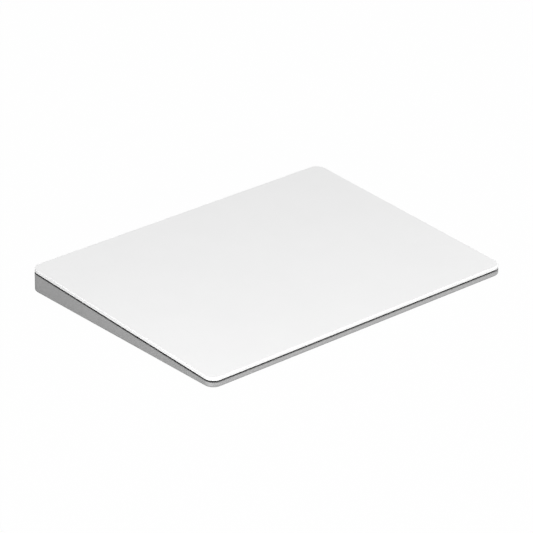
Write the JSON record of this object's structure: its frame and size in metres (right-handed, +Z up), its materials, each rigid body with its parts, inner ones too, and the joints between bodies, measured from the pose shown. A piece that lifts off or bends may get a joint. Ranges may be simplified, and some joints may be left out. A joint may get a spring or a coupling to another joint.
{
  "type": "trackpad",
  "caption": "Wedge-shaped desktop trackpad: an aluminium base with a full-width white glass touch plate that dips and shakes on sensing beams, a charge port and a sliding power switch.",
  "frame": {"origin": "on the desk, under the middle of the body", "axes": "+X the user's right, +Y towards the thick rear edge, +Z up"},
  "size_m": [0.16, 0.1151, 0.0109],
  "materials": {
    "white_glass": "fine etched white",
    "black_adhesive": "matte",
    "circuit_board": "solder mask",
    "chip": "moulded",
    "socket_plastic": "moulded",
    "spring_steel": "stamped",
    "soft_iron": "plain",
    "gel": "translucent",
    "knob_plastic": "satin",
    "green_mark": "painted",
    "blasted_aluminium": "bead blasted and anodised",
    "foot_rubber": "matte",
    "gauge_film": "film",
    "screw_steel": "plated",
    "flex_film": "film",
    "pouch_foil": "laminated foil",
    "tape": "adhesive tape",
    "wire_cover": "extruded",
    "shield_steel": "tinned",
    "coil_block": "pressed powder",
    "passive_ceramic": "fired",
    "antenna_plastic": "moulded",
    "antenna_metal": "plated",
    "port_steel": "plated",
    "port_plastic": "moulded",
    "contact_metal": "plated",
    "switch_plastic": "moulded",
    "former_plastic": "moulded",
    "copper_wire": "enamelled"
  },
  "bodies": {
    "base": {"base_tray": "blasted_aluminium", "foot_front_left": "foot_rubber", "foot_front_right": "foot_rubber", "foot_rear_left": "foot_rubber", "foot_rear_right": "foot_rubber", "sensor_beam_front_left": "spring_steel", "sensor_beam_front_right": "spring_steel", "sensor_beam_rear_left": "spring_steel", "sensor_beam_rear_right": "spring_steel", "strain_gauge_front_left": "gauge_film", "strain_gauge_front_right": "gauge_film", "strain_gauge_rear_left": "gauge_film", "strain_gauge_rear_right": "gauge_film", "beam_screws": "screw_steel", "gauge_harness_left": "flex_film", "gauge_harness_right": "flex_film", "battery_cell": "pouch_foil", "battery_tape": "tape", "battery_board": "circuit_board", "battery_wires": "wire_cover", "battery_plug": "socket_plastic", "main_board": "circuit_board", "board_screws": "screw_steel", "shield_can": "shield_steel", "radio_chip": "chip", "charge_chip": "chip", "power_coil": "coil_block", "board_passives": "passive_ceramic", "flex_socket": "socket_plastic", "harness_sockets": "socket_plastic", "drive_socket": "socket_plastic", "main_flex": "flex_film", "antenna_carrier": "antenna_plastic", "antenna_strip": "antenna_metal", "port_shell": "port_steel", "port_insulator": "port_plastic", "port_contacts": "contact_metal", "port_strap": "shield_steel", "port_screws": "screw_steel", "switch_housing": "switch_plastic", "drive_base": "shield_steel", "drive_core": "soft_iron", "drive_formers": "former_plastic", "drive_windings": "copper_wire", "drive_screws": "screw_steel", "drive_lead": "flex_film"},
    "gel_pads": {"gel_pad_front_left": "gel", "gel_pad_front_right": "gel", "gel_pad_rear_left": "gel", "gel_pad_rear_right": "gel"},
    "touch_plate": {"touch_glass": "white_glass", "bonding_sheet": "black_adhesive", "sensor_board": "circuit_board", "touch_controller": "chip", "sensor_socket": "socket_plastic", "stiffener_plate": "spring_steel", "armature": "soft_iron"},
    "switch_slider": {"switch_knob": "knob_plastic", "switch_flag": "green_mark"}
  },
  "joints": [
    {"name": "plate_press", "type": "slide", "parent": "base", "child": "gel_pads", "axis": [0, 0.0521, -0.9986], "range_m": [0, 0.00025], "stiffness_N_per_m": 12000, "springref_m": -0.00016, "deforming": ["sensor_beam_front_left", "sensor_beam_front_right", "sensor_beam_rear_left", "sensor_beam_rear_right", "main_flex"]},
    {"name": "haptic_shake", "type": "slide", "parent": "gel_pads", "child": "touch_plate", "axis": [0, 0.9986, 0.0521], "range_m": [-0.0001, 0.0001], "stiffness_N_per_m": 15000, "deforming": ["main_flex"]},
    {"name": "power_switch", "type": "slide", "parent": "base", "child": "switch_slider", "axis": [1, 0, 0], "range_m": [0, 0.0024]}
  ]
}
